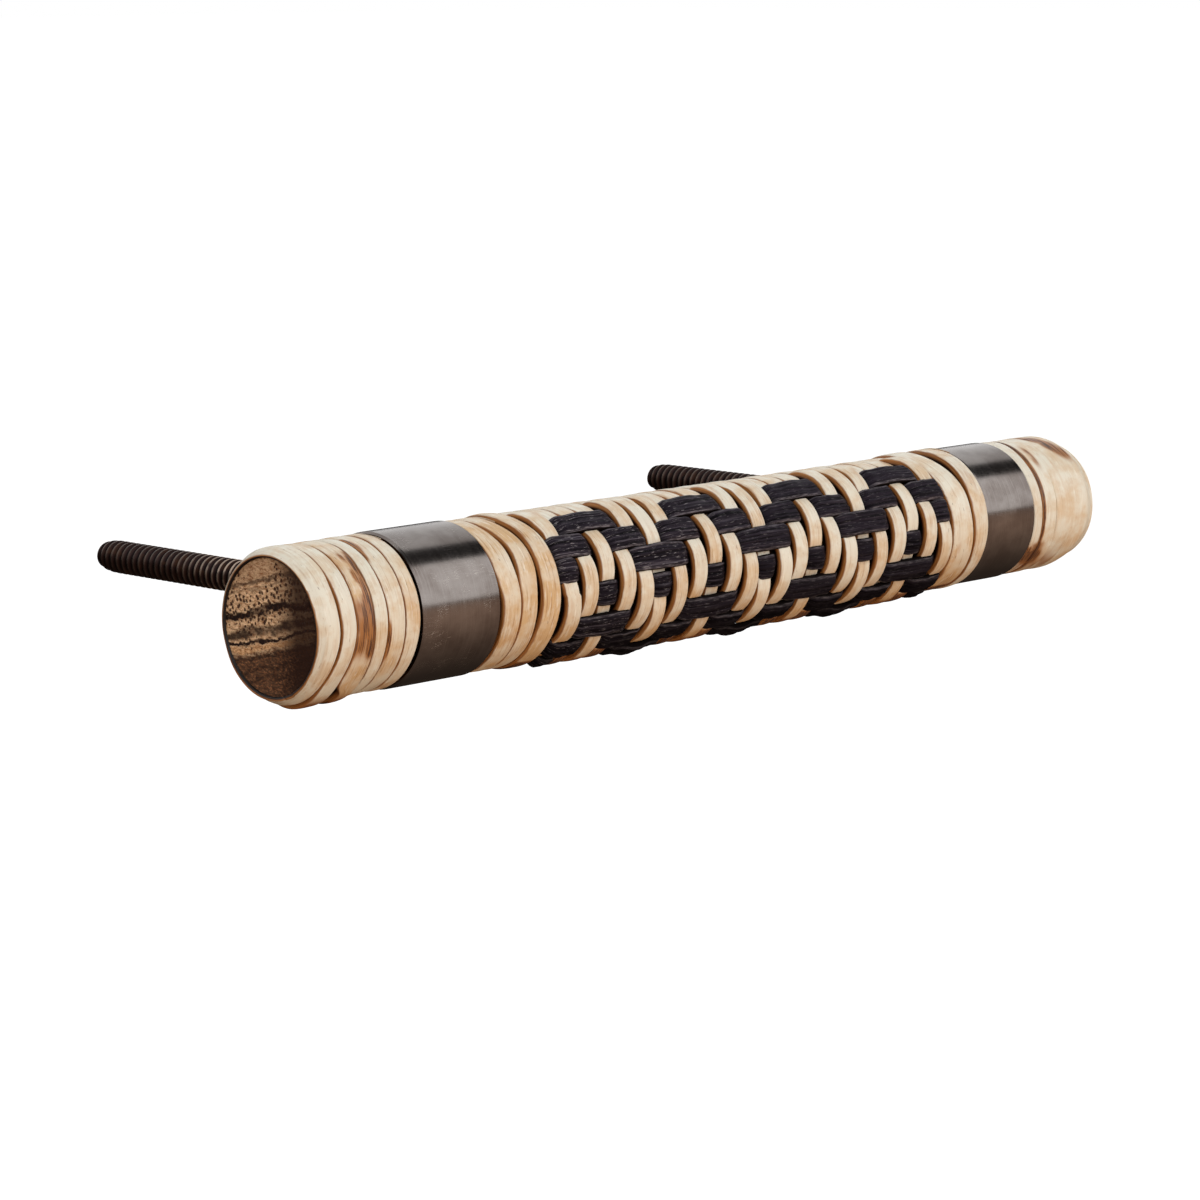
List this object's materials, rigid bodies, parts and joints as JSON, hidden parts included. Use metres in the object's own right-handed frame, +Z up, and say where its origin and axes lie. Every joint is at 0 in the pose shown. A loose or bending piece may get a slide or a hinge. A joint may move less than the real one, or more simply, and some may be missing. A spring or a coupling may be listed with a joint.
{
  "type": "furniture pull handle",
  "caption": "Round bar pull with a wooden core bound in split cane, a woven dyed panel on the front, dark metal ferrules and threaded studs at the back",
  "frame": {"origin": "Midway between the two studs, on the plane against which the back of the handle rests", "axes": "X along the handle, +Y the way the studs point (into the furniture), -Y toward the hand, +Z up when the handle is fitted level"},
  "size_m": [0.1347, 0.0646, 0.0183],
  "materials": {
    "core_wood": "sawn end grain with open pores and dark streaks, lightly oiled",
    "cane": "split cane with its pale skin outward, satin, brown at the cut edges",
    "dyed_cane": "core cane dyed black, matt, with raised fibres",
    "ferrule_metal": "browned metal, satin, faint turning marks and pale scratches",
    "stud_metal": "browned metal, worn bright on the thread crests"
  },
  "bodies": {
    "root": {"core_rod": "core_wood", "left_stud": "stud_metal", "right_stud": "stud_metal", "left_ferrule": "ferrule_metal", "right_ferrule": "ferrule_metal", "left_end_winding": "cane", "left_binding": "cane", "centre_winding": "cane", "right_binding": "cane", "right_end_winding": "cane", "black_strip_1": "dyed_cane", "black_strip_2": "dyed_cane", "black_strip_3": "dyed_cane", "black_strip_4": "dyed_cane", "black_strip_5": "dyed_cane", "black_strip_6": "dyed_cane", "black_strip_7": "dyed_cane"}
  },
  "joints": []
}
